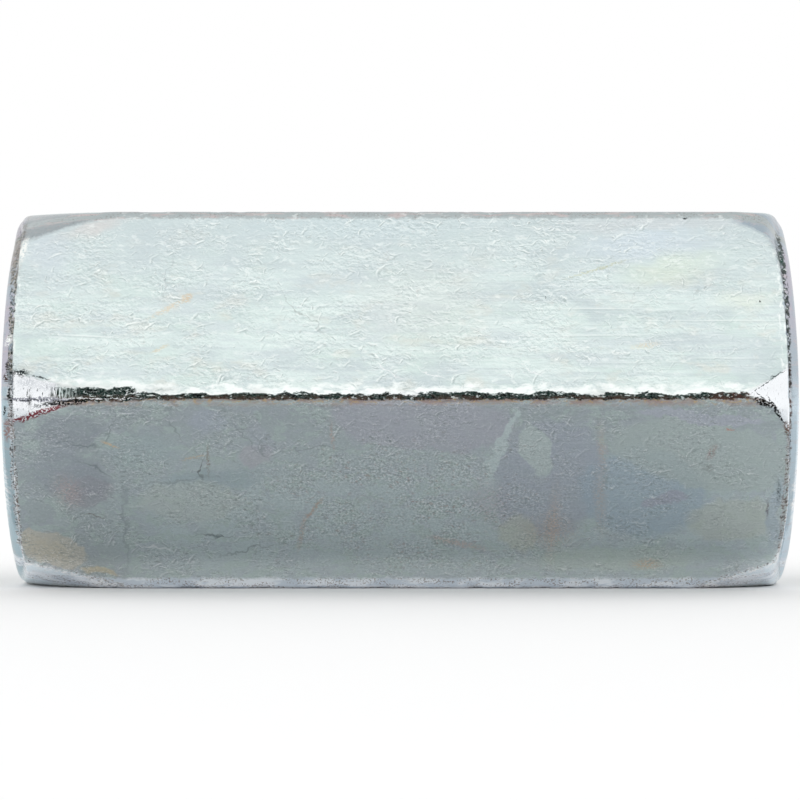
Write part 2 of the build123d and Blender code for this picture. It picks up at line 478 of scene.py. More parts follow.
# Rust and dirt that came through the zinc, and along the front edge and the ends black and near-white lines
# that are partly dirt and wear, partly painted dark reflection and painted highlight: the same numbers, drawn
# broken up
rustMarks = [
    (-14.3, 6.7, 1.35, 0.16, 32, 0.7, 0.32, "#E0BC80"),
    (-13.3, 7.4, 0.32, 0.3, 0, 0.4, 0.4, "#D8B070"),
    (-14.9, 3.65, 0.55, 0.12, 28, 0.6, 0.35, "#D9BC88"),
    (15.2, 3.9, 0.75, 0.2, 10, 0.8, 0.35, "#DCC496"),
    (12.4, 9.5, 1.7, 0.1, 20, 0.6, 0.5, "#B8BA90"),
    (-5.4, -7.9, 0.12, 0.9, -35, 0.6, 0.5, "#C89878"),
    (-6.2, -9.7, 0.14, 1.0, -10, 0.9, 0.4, "#C0A08C"),
    (-11.9, -4.4, 0.08, 1.0, 0, 0.6, 0.6, "#9A8A80"),
    (5.6, -7.4, 0.9, 1.4, 20, 0.9, 0.3, "#C0B0BC"),
    (9.5, -9.6, 1.4, 1.0, 0, 0.9, 0.35, "#C4AE9C"),
    (-4.2, -2.6, 0.1, 0.9, 5, 0.8, 0.35, "#CFA590"),
    (-17.9, -3.2, 0.5, 0.1, -22, 0.6, 0.6, "#F0C48C"),
    (-12.7, -4.1, 0.7, 0.1, 12, 0.6, 0.4, "#DDB684"),
    (12.5, -3.6, 0.25, 1.5, 6, 0.9, 0.22, "#DDB292"),
    (12.5, -7.2, 0.35, 1.9, 4, 0.9, 0.22, "#DEB496"),
    (9.6, -8.9, 0.35, 2.1, -3, 0.9, 0.25, "#E0B694"),
    (19.3, -3.7, 0.2, 0.5, -22, 0.8, 0.45, "#A07068"),
    (19.1, -4.9, 0.25, 0.25, 0, 0.9, 0.4, "#6A6462"),
    (20.3, -2.1, 0.28, 0.06, 6, 0.5, 0.7, "#CE8E7E"),
    (-20.7, -6.6, 0.7, 1.0, 20, 0.9, 0.45, "#D0B8B2"),
    (3.6, -10.4, 1.6, 0.2, -14, 0.7, 0.4, "#D2AE9E"),
    (15.6, -12.0, 0.8, 0.35, 0, 0.7, 0.45, "#D8B490"),
    (-22.3, -1.0, 1.8, 0.2, 20, 0.4, 1.3, "#84464C"),
    (24.0, 11.0, 0.2, 0.9, 0, 0.6, 0.95, "#1E4A3E"),
    (22.45, 7.1, 0.07, 0.05, 0, 0.5, 1.0, "#26302E"),
    (9.1, 7.4, 0.05, 0.08, 0, 0.5, 0.9, "#404A48"),
    (18.1, 13.3, 0.16, 0.07, 0, 0.5, 1.0, "#20282A"),
    (-22.3, 0.05, 2.1, 0.16, 0, 0.3, 1.6, "#989AA4"),
    (-20.5, -0.2, 1.5, 0.17, 5, 0.5, 1.4, "#1A1C1C"),
    (22.7, 1.35, 1.25, 0.035, 37, 0.4, 1.4, "#4A5254"),
    (-18.6, 0.1, 2.6, 0.045, 0, 0.4, 0.95, "#F0F2F4"),
    (-16.9, 0.3, 0.3, 0.05, 60, 0.4, 0.95, "#F0F2F4"),
    (-16.2, 0.55, 0.2, 0.07, 30, 0.4, 0.9, "#F0F2F4"),
    (22.1, 0.3, 0.4, 0.05, -42, 0.4, 1.0, "#12181A"),
    (22.67, 0.05, 0.3, 0.04, -67, 0.4, 1.0, "#12181A"),
    (22.9, -0.35, 0.42, 0.13, -60, 0.4, 1.0, "#12181A"),
    (23.1, -0.55, 0.6, 0.04, -62, 0.4, 0.9, "#12181A"),
    (22.3, -0.2, 0.75, 0.2, -24, 0.5, 1.5, "#1A1612"),
    (23.25, -1.05, 0.75, 0.1, -54, 0.5, 1.4, "#1A1C1E"),
    (23.9, -2.1, 0.22, 0.5, 20, 0.6, 1.1, "#7E6A62"),
    (-24.35, -2.3, 0.2, 0.75, 0, 0.6, 1.1, "#A88E8A"),
    (-24.35, 12.3, 0.5, 1.5, 0, 0.8, 1.1, "#958F8A"),
    (-24.3, 10.0, 0.35, 1.3, 0, 0.8, 0.6, "#9C968E"),
    (-23.8, 10.9, 0.2, 0.9, -12, 0.8, 1.1, "#F4F6F2"),
    (-24.3, 4.4, 0.2, 0.35, -20, 0.7, 1.1, "#F4F8F6"),
    (23.6, -6.6, 0.09, 0.7, 4, 0.8, 0.8, "#5E6468"),
    (23.0, -7.9, 0.07, 0.6, 0, 0.8, 0.7, "#6A5E66"),
    (-22.9, 0.0, 1.3, 0.05, 1, 0.4, 1.2, "#3C4448"),
    (-24.15, 0.1, 0.08, 0.5, 4, 0.5, 1.4, "#202424"),
    (-24.5, -0.9, 0.07, 0.35, 0, 0.5, 1.4, "#202424"),
    (22.95, 1.62, 0.13, 0.07, 20, 0.5, 1.0, "#2A3230"),
    (-23.35, 1.95, 0.5, 0.22, -10, 0.7, 1.0, "#20282A"),
    (-22.9, 1.25, 0.6, 0.3, 0, 0.9, 0.45, "#A4ACB4"),
    (-21.6, 0.95, 0.7, 0.22, 0, 0.9, 0.4, "#AEB4BC"),
    (-23.9, 1.5, 0.12, 0.7, -12, 0.7, 0.7, "#4A4E50"),
    (-22.9, 0.45, 0.05, 0.3, 0, 0.6, 0.8, "#30383A"),
    (-22.2, -0.45, 0.5, 0.12, 12, 0.8, 0.6, "#50585C"),
    (-22.1, 1.6, 0.6, 0.06, -16, 0.5, 0.9, "#30383A"),
    (-24.4, 1.75, 0.14, 0.35, 0, 0.6, 1.0, "#4A3830"),
    (-24.3, 2.6, 0.12, 0.45, 0, 0.6, 0.9, "#282622"),
]

# Hairline cracks in the plating: the same numbers
hairlines = [
    (-14.6, 9.2, 0.03, 1.9, -6, 0.9, 0.35, "#98A4A6"),
    (-6.0, 6.2, 1.9, 0.035, -48, 0.9, 0.5, "#98A09E"),
    (19.3, 8.1, 0.8, 0.03, 38, 0.9, 0.5, "#9AA5A3"),
    (15.0, 8.0, 0.9, 0.03, 55, 0.9, 0.35, "#9AA5A3"),
    (-17.2, -9.2, 0.08, 3.2, -3, 0.9, 0.48, "#98A0A6"),
    (-14.2, -5.9, 2.6, 0.06, 8, 0.9, 0.48, "#98A2A4"),
    (-14.0, -2.0, 0.05, 1.0, 35, 0.9, 0.56, "#929C9E"),
    (-9.6, -2.6, 1.5, 0.05, -48, 0.9, 0.56, "#98A0A4"),
    (-5.4, -3.5, 1.8, 0.04, 0, 0.9, 0.64, "#98A0A4"),
    (-11.6, -9.9, 1.0, 0.05, -2, 0.9, 0.8, "#7C8688"),
    (-9.6, -10.9, 1.3, 0.05, 14, 0.9, 0.64, "#8A9496"),
    (-15.6, -10.8, 1.0, 0.05, -18, 0.9, 0.5, "#FFFFFF"),
    (-12.3, -5.1, 0.04, 0.6, 0, 0.9, 0.96, "#8A8F90"),
    (-17.8, -2.3, 1.4, 0.03, 56, 0.9, 0.64, "#929C9E"),
    (8.0, 2.0, 1.3, 0.03, -24, 0.9, 0.4, "#FFFFFF"),
    (-0.6, 2.0, 0.8, 0.035, -34, 0.9, 0.6, "#FFFFFF"),
    (2.1, 2.05, 1.1, 0.035, -24, 0.9, 0.6, "#FFFFFF"),
    (-8.4, -3.6, 1.3, 0.04, -58, 0.9, 0.45, "#909A9C"),
    (-19.6, -3.1, 1.0, 0.05, -14, 0.9, 0.6, "#7E888A"),
    (-18.9, -4.9, 0.9, 0.07, -30, 0.9, 0.6, "#7E888A"),
    (-19.2, -8.4, 0.6, 0.05, -5, 0.9, 0.6, "#7A6E66"),
]

# Long drawing lines that stand a little proud of the flats, painted with a highlight on them and a shadow
# below: the same numbers, without colour
drawLines = [
    (19.5, 5.72, 3.0, 0.05, 0, 0.9, 0.35),
    (11.6, 4.65, 3.2, 0.05, 0.6, 0.9, 0.36),
    (19.7, 3.0, 2.4, 0.04, 0, 0.9, 0.28),
    (14.1, 2.7, 1.9, 0.04, 0, 0.9, 0.3),
    (12.0, 6.6, 2.8, 0.04, -0.5, 0.9, 0.5),
    (-19.4, 4.6, 1.9, 0.05, -3, 0.9, 0.5),
]

skin = {
    "mint": "#D3E3DF",
    "blueWhite": "#D4E0E1",
    "lilac": "#C6D2D5",
    "warm": "#DCDDD4",
    "drawn": "#E0EEEB",  # streaks left by the drawing die
    "wornAndHighlight": "#F8FDFB",  # where handling polished the film away, and painted highlight: on wrinkle crests, lips and the band above the front edge
    "shaded": "#C8D3D5",  # painted shade: the film colour given to the lower half, darker than above
    "shadedEdges": "#B4BDBF",  # and darker still towards the front edge, the bottom and the -X end: more painted shade
    "shadedGreen": "#C2D0CB",
    "shadedViolet": "#BDC1CB",
    # the painted highlight on the wrinkle crests of the lower half
    "shadedHighlight": "#FFFFFF",
    "speck": "#A88C82",
    # painted shadow beside the wrinkles and drawing lines, also darker streaks and pits; shadedCreased is its
    # darker version for the lower half
    "creaseShadowAndGrime": "#A2B1B0",
    "shadedCreased": "#848F90",
    "violetRing": "#BDBBC6",
    "blueRing": "#B2BDC6",
    "corner": "#A3ABAE",
    "rightCorner": "#A3B0B9",
    # painted reflection: the turned surfaces and the long-edge strip below the front edge are painted paler and
    # bluer, as if a pale surface under the nut shone in them
    "ringBelow": "#B5C9D1",
    "rightRingBelow": "#CFDDE6",
    "turnedBelow": "#E4EEF4",
    "stripBelow": "#F6FAFE",
    # painted reflection: the turned facets beside the front edge are painted near white
    "turnedFront": "#F8FBFE",
    # painted reflection of dim surroundings above: the strips on the upper long edges are painted grey
    "topEdge": "#AFB8B9",
    # bluish patches on the pale strip below, part of its painted reflection
    "bluishStrip": "#DCE4EC",
    "scratch": "#3A4246",
    "black": "#101416",
    "darkGreen": "#2C423C",
    "brown": "#6E5448",
    "redBrown": "#5A3E38",
    "dust": "#6E7674",  # over the dirt in crushed metal
    "bareSpeck": "#DDE4E4",
    "greyDust": "#A5A198",  # on the torn border of the -X end
    "blueDust": "#93A0AA",
    "paleDust": "#E6E8EC",
    "darkCrumb": "#42403E",  # crumbled plating on the border below
    "greyCrumb": "#A39E9A",
    "paleCrumb": "#E2E6E9",
    "bareFringe": "#FFFFFF",
    "rustBrown": "#B09086",
    "ochre": "#CDB58C",
    "blush": "#D0BFBE",
    "roughness": 0.38,
    "turnedRoughness": 0.24,
    "crushedRoughness": 0.25,  # more than the rest
    # strengths of the painted highlight on the wrinkle crests and of the painted shadow below them
    "crestTone": 0.78,
    "shadowTone": 0.7,
    "crestHeight": 0.003,  # mm
    "lineHeight": 0.004,
    "crumpleHeight": 0.008,
    "crumpleSize": (0.38, 0.26),
    "bandHeight": 0.46,  # mm, of the crushed dark band above the front edge (dirt and painted dark reflection), and how much wider near the -X end
    "bandWidening": 0.42,
    "wornHighlightBand": 0.95,  # mm, of the pale band above it: partly polish, partly painted highlight
}
filmTones = [  # tint, size of its patches in mm, the noise where they start and are full, and their strength
    ("lilac", (4.2, 2.8), 0.46, 0.62, 0.6),
    ("warm", (2.6, 1.6), 0.54, 0.68, 0.5),
    ("drawn", (7, 1.6), 0.46, 0.62, 0.8),
    ("lilac", (12, 0.4), 0.5, 0.66, 0.35),
]
strokes = [  # raised wrinkles of the plating, sizes in mm, angles in degrees
    {"cell": (2.4, 1.3), "length": 0.8, "width": 0.07, "lean": 26, "tilt": 38, "bend": 0.45, "share": 0.5,
     "seed": 3.1},
    {"cell": (1.2, 0.7), "length": 0.45, "width": 0.055, "lean": 16, "tilt": 60, "bend": 1.0, "share": 0.42,
     "seed": 11.7},
    {"cell": (0.62, 0.44), "length": 0.26, "width": 0.04, "lean": 4, "tilt": 70, "bend": 1.0, "share": 0.3,
     "seed": 27.9},
]


def skinPlaces(t):
    # the places and fields that the layers of the skin share
    place = addNode(t, "UVMap", {"uv_map": "unrolled"})
    along, around, _ = addNode(t, "SeparateXYZ", None, {0: place}).node.outputs
    rough = ragged(t, place, 0.5, 0.2, 9.0)
    roughAlong, roughAround, _ = addNode(t, "SeparateXYZ", None, {0: rough}).node.outputs
    border = addNode(t, "Attribute", {"attribute_name": "edgeDistance"}).node.outputs["Fac"]
    shift = addNode(t, "Math", {"operation": "SUBTRACT"}, {0: roughAround, 1: around})
    behind, fromMiddle, roughFromMiddle = [addNode(t, "Math", {"operation": "ABSOLUTE"}, {0: field})
                                           for field in (around, along, roughAlong)]
    half = halfLength / mm
    # upwards is the same way on the front and the back, so that painted highlights fall above the wrinkles and
    # painted shadows below them on both
    upwards = addNode(t, "Math", {"operation": "GREATER_THAN", 1: 2 * flatWidth / mm}, {0: behind})
    upwards = addNode(t, "Math", {"operation": "MULTIPLY_ADD", 1: -2.0, 2: 1.0}, {0: upwards})
    upwards = addNode(t, "CombineXYZ", {"X": 1.0, "Z": 1.0}, {"Y": upwards})
    lit = addNode(t, "VectorMath", {"operation": "MULTIPLY"}, {0: place, 1: upwards})
    return {
        "flat": place,
        "rough": rough,
        "frayed": ragged(t, ragged(t, place, 2.4, 0.8), 0.4, 0.14, 4.0),
        "lit": ragged(t, lit, 1.4, 0.3),
        "along": along,
        "around": roughAround,
        "behind": behind,
        "border": addNode(t, "Math", {"operation": "MULTIPLY_ADD", 1: 1.4}, {0: shift, 2: border}),
        "fromEnd": addNode(t, "Math", {"operation": "SUBTRACT", 0: half}, {1: fromMiddle}),
        "roughFromEnd": addNode(t, "Math", {"operation": "SUBTRACT", 0: half}, {1: roughFromMiddle}),
        "below": addNode(t, "MapRange", {"interpolation_type": "SMOOTHSTEP", "From Min": 0.1,
                                         "From Max": -0.15}, {"Value": roughAround}),
        "right": within(t, (along, -1.0, 1.0)),
        "grain": blotches(t, place, (0.15, 0.13), 0.3, 0.7),
        "restless": blotches(t, place, (3.2, 2.2), 0.42, 0.6, 17.0),
    }


def filmColour(t, on):
    # pale film with soft patches of tone, drawn streaks, a lilac tint growing towards the top and full over the
    # back, painted shade on the lower half, and the stains in it
    colour = lay(t, skin["mint"], skin["blueWhite"], blotches(t, on["flat"], (5, 2.5), 0.38, 0.62))
    for tint, size, low, high, most in filmTones:
        colour = lay(t, colour, skin[tint], blotches(t, on["flat"], size, low, high, 7 * size[1], most))
    colour = lay(t, colour, skin["lilac"], (on["around"], 6.0, 14.0, 0.0, 0.85))
    # painted shade: the lower half takes the darker film colour
    colour = lay(t, colour, skin["shaded"], on["below"], 0.8)
    # more painted shade on the lower half, towards the front edge, the bottom and the -X end
    edgeShade = within(t, (on["around"], -7.0, -1.0))
    for field, start, end, most in (("around", -9.5, -12.0, 0.3), ("along", -14.0, -21.0, 0.9)):
        nearOther = within(t, (on[field], start, end, 0.0, most))
        edgeShade = addNode(t, "Math", {"operation": "ADD"}, {0: edgeShade, 1: nearOther})
    colour = lay(t, colour, skin["shadedEdges"], edgeShade, on["below"])
    for tint, seed, most in (("shadedGreen", 113.0, 0.6), ("shadedViolet", 127.0, 0.3)):
        areas = blotches(t, on["frayed"], (1.5, 0.9), 0.53, 0.57, seed, most)
        colour = lay(t, colour, skin[tint], areas, on["below"])
    for *spot, tint in filmStains:
        colour = lay(t, colour, tint, patch(t, on["frayed"], spot))
    return colour


def wrinkle(t, on, colour):
    # crumpled plating: each wrinkle gets a pale crest, partly polish and partly painted highlight, and a
    # painted shadow on its side below. Also gives the height in mm
    crest = lay(t, skin["wornAndHighlight"], skin["shadedHighlight"], on["below"])
    crease = lay(t, skin["creaseShadowAndGrime"], skin["shadedCreased"], on["below"])
    quiet = within(t, (on["below"], 0.0, 1.0, 1.0, 0.42))
    lively = within(t, (on["restless"], 0.0, 1.0, 0.25, 1.0), quiet, (on["along"], 10.0, 19.0, 1.0, 0.6))
    # fine crumpling: the same field twice, a hair apart, gives the sides that face up and down, painted as
    # highlight and shade
    here = blotches(t, on["lit"], skin["crumpleSize"], 0.0, 1.0, 21.0)
    lower = addNode(t, "Mapping", {"Location": (0.02, 0.05, 0)}, {"Vector": on["lit"]})
    there = blotches(t, lower, skin["crumpleSize"], 0.0, 1.0, 21.0)
    slope = addNode(t, "Math", {"operation": "SUBTRACT"}, {0: here, 1: there})
    for steepest, tint in ((0.13, crest), (-0.13, crease)):
        colour = lay(t, colour, tint, (slope, 0.0, steepest, 0.0, 0.44), lively)
    height = within(t, here, skin["crumpleHeight"])
    for x, y, *line in drawLines:
        proud = patch(t, on["flat"], (x, y, *line))
        height = addNode(t, "Math", {"operation": "MULTIPLY_ADD", 1: skin["lineHeight"]},
                         {0: proud, 2: height})
        # painted shadow just below each drawing line, and painted highlight on the line
        colour = lay(t, colour, crease, patch(t, on["flat"], (x, y - 0.1, *line)), 0.6)
        colour = lay(t, colour, crest, proud)
    streaky = within(t, (on["along"], -4.0, 6.0, 0.06, 0.2))
    for seed, tint in ((91.0, crest), (97.0, crease)):
        colour = lay(t, colour, tint, blotches(t, on["flat"], (3.0, 0.09), 0.56, 0.68, seed), streaky, quiet)
    gritty = within(t, (on["restless"], 0.0, 1.0, 0.4, 1.3), on["below"])
    for size, seed, tint in (((0.16, 0.1), 101.0, crest), ((0.16, 0.1), 107.0, crease),
                             ((0.5, 0.14), 109.0, crease)):
        colour = lay(t, colour, tint, blotches(t, on["lit"], size, 0.56, 0.72, seed, 0.42), gritty)
    strength = addNode(t, "Math", {"operation": "POWER", 1: 0.6}, {0: lively})
    for m in strokes:
        mark, shadow = marks(t, on["lit"], m)
        height = addNode(t, "Math", {"operation": "MULTIPLY_ADD", 1: skin["crestHeight"]},
                         {0: mark, 2: height})
        # painted shadow below each mark, then painted highlight on its crest
        colour = lay(t, colour, crease, shadow, skin["shadowTone"], strength)
        colour = lay(t, colour, crest, mark, skin["crestTone"], strength)
    # flecks: tiny polished spots, pits with dirt in them and a few brownish ones, mostly on the flats below
    dusty = patch(t, on["lit"], (0.8, -7.6, 7.5, 3.6, 0, 1.0, 0.9))
    dusty = addNode(t, "Math", {"operation": "ADD", 1: 0.12}, {0: dusty})
    dusty = within(t, dusty, strength)
    for low, high, tint in ((0.55, 0.95, crest), (0.45, 0.05, crease)):
        colour = lay(t, colour, tint, (on["grain"], low, high), dusty)
    colour = lay(t, colour, skin["speck"], blotches(t, on["lit"], (0.35, 0.2), 0.62, 0.7, 77.0), dusty)
    for *spot, tint in hairlines:
        colour = lay(t, colour, tint, patch(t, on["frayed"], spot))
    return colour, height


def turnedColour(t, on, colour):
    # turned surfaces: brighter and smoother than the flats, painted near white beside the front edge and paler
    # and bluer below it, both painted reflection. Also gives their place
    lowRight = within(t, (on["around"], 6.5, 3.5), on["right"])
    blue = blotches(t, on["flat"], (1.5, 4.0), 0.4, 0.6)
    blue = addNode(t, "Math", {"operation": "MAXIMUM"}, {0: blue, 1: lowRight})
    tint = lay(t, skin["violetRing"], skin["blueRing"], blue)
    corner = within(t, (on["fromEnd"], 0.6, 0.9))
    tint = lay(t, tint, lay(t, skin["corner"], skin["rightCorner"], on["right"]), corner)
    # painted reflection: the turned surfaces below the front edge paler and bluer, as if a pale surface under
    # the nut shone in them
    ringBelow = lay(t, skin["ringBelow"], skin["rightRingBelow"], on["right"])
    tint = lay(t, tint, lay(t, ringBelow, skin["turnedBelow"], corner), (on["around"], 2.2, -0.6))
    tint = lay(t, tint, skin["blush"], blotches(t, on["flat"], (0.8, 0.5), 0.54, 0.7, 2.0, 0.35))
    # painted reflection: the turned facets beside the front edge painted near white
    nearFront = within(t, (on["behind"], 4.0, 2.6), (on["fromEnd"], 0.5, 0.7))
    tint = lay(t, tint, skin["turnedFront"], nearFront)
    # scratches across the turned surface beside the front edge, and a few fainter ones elsewhere
    ticks = blotches(t, on["flat"], (0.12, 0.4), 0.66, 0.7, 5.0, 0.8)
    beside = within(t, (on["below"], 0.0, 1.0, 0.3, 0.0))
    beside = addNode(t, "Math", {"operation": "MAXIMUM"}, {0: beside, 1: nearFront})
    tint = lay(t, tint, skin["scratch"], ticks, beside, (on["right"], 0.0, 1.0, 1.2, 0.25))
    softer = within(t, (on["behind"], 6.0, 10.0, 1.0, 0.3), on["border"])
    nearEnd = within(t, (on["fromEnd"], 3.5, 4.0, 1.0, 0.0))
    anyDepth = within(t, (on["behind"], 3.0, 4.0))
    allowed = addNode(t, "Math", {"operation": "MAXIMUM"}, {0: nearEnd, 1: anyDepth})
    turned = within(t, (softer, -0.06, 0.06), allowed)
    return lay(t, colour, tint, turned), turned


def edgeStrips(t, on, colour):
    # the long edges other than the front one: a strip on each with a painted reflection, dim grey above and
    # pale below, with brown crumbs below
    toEdge = addNode(t, "Math", {"operation": "PINGPONG", 1: flatWidth / mm / 2}, {0: on["around"]})
    # painted reflection of dim surroundings: the strips above painted grey, with blushes of tone
    above = lay(t, skin["topEdge"], skin["blush"], blotches(t, on["flat"], (2.0, 0.5), 0.52, 0.66, 31.0, 0.6))
    bluish = blotches(t, on["flat"], (2.4, 0.8), 0.46, 0.56, 33.0)
    # painted reflection of a pale surface under the nut: the strips below painted pale, with bluish patches
    under = lay(t, skin["stripBelow"], skin["bluishStrip"], bluish)
    tint = lay(t, above, under, on["below"])
    crumbly = blotches(t, on["flat"], (1.6, 0.5), 0.42, 0.56, 35.0)
    tint = lay(t, tint, skin["brown"], (on["grain"], 0.42, 0.22, 0.0, 0.65), crumbly,
               (on["below"], 0.0, 1.0, 0.5, 1.0))
    toEdge = within(t, toEdge, (on["below"], 0.0, 1.0, 1.0, 0.66))
    return lay(t, colour, tint, (toEdge, 0.6, 0.44), (on["behind"], 3.0, 4.0))


def dirtColour(t, on):
    # what collects in crushed metal: black, dark green and brown, with bare specks. On the front edge the same
    # colour also paints a dark reflection
    field = blotches(t, on["rough"], (0.4, 0.25), 0.3, 0.7, 41.0)
    colour = lay(t, skin["black"], skin["darkGreen"], (field, 0.2, 0.7))
    colour = lay(t, colour, skin["dust"], (on["grain"], 0.4, 0.8, 0.0, 0.6))
    brown = blotches(t, on["flat"], (1.0, 0.5), 0.4, 0.56, 43.0)
    colour = lay(t, colour, skin["brown"], (on["around"], 0.42, 0.1), (on["along"], 18.5, 20.5, 0.55, 0.95),
                 brown)
    redder = blotches(t, on["flat"], (0.4, 0.25), 0.4, 0.56, 45.0, 0.8)
    colour = lay(t, colour, skin["redBrown"], (on["along"], 18.8, 20.0), redder, (on["around"], 4.0, 2.0))
    return lay(t, colour, skin["bareSpeck"], (field, 0.82, 0.95, 0.0, 0.85))


def borderWear(t, on, colour, turned, dirt):
    # where the flats end: a torn dark band above, crumbled pale metal below, and a thin pale lip on the flats
    # above, partly polish and partly painted highlight
    drawn = addNode(t, "Math", {"operation": "SUBTRACT", 0: 1.0}, {1: turned})
    notBelow = addNode(t, "Math", {"operation": "SUBTRACT", 0: 1.0}, {1: on["below"]})
    lipWidth = within(t, (on["right"], 0.0, 1.0, 0.98, 1.3))
    lip = addNode(t, "Math", {"operation": "SUBTRACT"}, {0: lipWidth, 1: on["roughFromEnd"]})
    lipPatches = blotches(t, on["flat"], (0.3, 0.7), 0.5, 0.66, 0, 0.8)
    # pale lip: partly polish, partly painted highlight, only above the front edge
    colour = lay(t, colour, skin["wornAndHighlight"], (lip, 0.0, 0.15), drawn, lipPatches, notBelow)
    # torn band, on the turned side of the border, wider at the top of the -X end
    leftTop = within(t, (on["around"], 8.5, 11.0, 0.0, 0.22), (on["along"], 1.0, -1.0))
    side = within(t, (on["around"], 4.0, 10.0, 0.44, 0.3))
    side = addNode(t, "Math", {"operation": "SUBTRACT"}, {0: side, 1: leftTop})
    side = addNode(t, "Math", {"operation": "MULTIPLY_ADD", 1: 0.09}, {0: on["right"], 2: side})
    pastSide = addNode(t, "Math", {"operation": "SUBTRACT"}, {0: on["roughFromEnd"], 1: side})
    inward = addNode(t, "Math", {"operation": "MULTIPLY_ADD", 1: 0.2},
                     {0: on["right"], 2: on["roughFromEnd"]})
    gaps = blotches(t, on["rough"], (0.24, 0.4), 0.4, 0.48, 51.0, 0.95)
    torn = within(t, (pastSide, -0.03, 0.05), (inward, 1.0, 0.9), turned,
                  (on["around"], 14.6, 13.6, 0.3, 1.0), (on["around"], -2.6, -1.6), gaps)
    dust = lay(t, skin["greyDust"], skin["blueDust"], blotches(t, on["flat"], (1.2, 2.2), 0.46, 0.56, 58.0))
    dust = lay(t, dust, skin["paleDust"], (on["around"], 1.6, 1.1))
    dusted = blotches(t, on["flat"], (0.16, 0.2), 0.45, 0.54, 57.0)
    dirtAndDust = lay(t, dirt, dust, (on["along"], -22.0, -23.5, 0.12, 1.0), dusted)
    colour = lay(t, colour, dirtAndDust, torn)
    # crumbled band below
    crumb = lay(t, skin["brown"], skin["darkCrumb"], blotches(t, on["flat"], (0.4, 0.4), 0.45, 0.6, 59.0))
    crumb = lay(t, crumb, skin["greyCrumb"], blotches(t, on["lit"], (0.3, 0.3), 0.5, 0.56, 139.0, 0.9))
    pale = blotches(t, on["lit"], (0.2, 0.14), 0.46, 0.54, 137.0)
    crumb = lay(t, crumb, skin["paleCrumb"], pale, (on["right"], 0.0, 1.0, 1.0, 0.7))
    inward = addNode(t, "Math", {"operation": "MULTIPLY_ADD", 1: 0.1},
                     {0: on["right"], 2: on["roughFromEnd"]})
    head = addNode(t, "Math", {"operation": "MULTIPLY_ADD", 1: 1.3}, {0: on["right"], 2: on["around"]})
    gaps = blotches(t, on["rough"], (0.3, 0.5), 0.38, 0.46, 53.0, 0.8)
    colour = lay(t, colour, crumb, (inward, 1.02, 0.94), (on["roughFromEnd"], 0.5, 0.58), on["below"],
                 (on["around"], -11.8, -11.0), (head, -0.5, -0.9), gaps)
    # bare fringe and brown crumbs where a flat below meets the turned corner
    corner = within(t, (on["behind"], 3.2, 3.8), on["below"])
    fringe = blotches(t, on["flat"], (0.3, 0.2), 0.42, 0.56, 79.0)
    colour = lay(t, colour, skin["bareFringe"], (on["border"], 0.5, 0.1), turned, corner, fringe)
    fromBorder = addNode(t, "Math", {"operation": "ABSOLUTE"}, {0: on["border"]})
    crumbs = blotches(t, on["flat"], (0.2, 0.12), 0.5, 0.58, 83.0, 0.85)
    return lay(t, colour, crumb, (fromBorder, 0.16, 0.08), corner, crumbs)


def frontEdge(t, on, colour, turned, dirt):
    # the edge that took the knocks: a pale band, partly polish and partly painted highlight, a rusty smear, and
    # crushed metal, partly dirt and partly a painted dark reflection. Also gives the last one
    drawn = addNode(t, "Math", {"operation": "SUBTRACT", 0: 1.0}, {1: turned})
    height = skin["bandHeight"]
    bandHeight = within(t, (on["along"], -14.5, -17.5, height, height + skin["bandWidening"]))
    uneven = within(t, (blotches(t, on["flat"], (1.6, 0.6), 0.3, 0.7, 61.0), 0.0, 1.0, 0.14, -0.16))
    above = addNode(t, "Math", {"operation": "SUBTRACT"}, {0: on["around"], 1: bandHeight})
    above = addNode(t, "Math", {"operation": "ADD"}, {0: above, 1: uneven})
    # the pale band above the crushed band: polish and painted highlight
    wornAndHighlight = within(t, (above, skin["wornHighlightBand"], 0.1))
    patchy = blotches(t, on["lit"], (0.9, 0.45), 0.3, 0.7)
    wornAndHighlight = addNode(t, "Math", {"operation": "ADD"}, {0: wornAndHighlight, 1: patchy})
    colour = lay(t, colour, skin["wornAndHighlight"], (wornAndHighlight, 0.75, 1.45, 0.0, 0.95), (above, -0.05, 0.05), drawn)
    # the smear and its ochre crumbs, under the edge
    smear = within(t, (on["around"], -0.5, -0.1), drawn, (on["around"], 0.3, 0.1))
    rusty = blotches(t, on["flat"], (1.8, 0.6), 0.38, 0.6, 63.0, 0.75)
    colour = lay(t, colour, skin["rustBrown"], smear, rusty)
    crumbs = blotches(t, on["rough"], (0.3, 0.15), 0.56, 0.64, 65.0, 0.8)
    colour = lay(t, colour, skin["ochre"], smear, crumbs)
    # the crushed band, dirt and painted dark reflection, which begins at the -X end with a comb of bare ticks
    dip = within(t, (on["along"], -15.5, -17.0, 0.0, 0.16))
    bandFoot = addNode(t, "Math", {"operation": "ADD"}, {0: on["around"], 1: dip})
    comb = within(t, (on["along"], -19.6, -20.8, 1.0, 0.0))
    teeth = blotches(t, on["flat"], (0.08, 0.8), 0.45, 0.52, 71.0)
    comb = addNode(t, "Math", {"operation": "MAXIMUM"}, {0: comb, 1: teeth})
    gaps = blotches(t, on["flat"], (0.8, 0.3), 0.29, 0.37, 67.0)
    crushedAndDarkReflection = within(t, (above, 0.03, -0.05), (bandFoot, -0.02, 0.08), (on["roughFromEnd"], 3.2, 3.4),
                     comb, gaps)
    return lay(t, colour, dirt, crushedAndDarkReflection), crushedAndDarkReflection


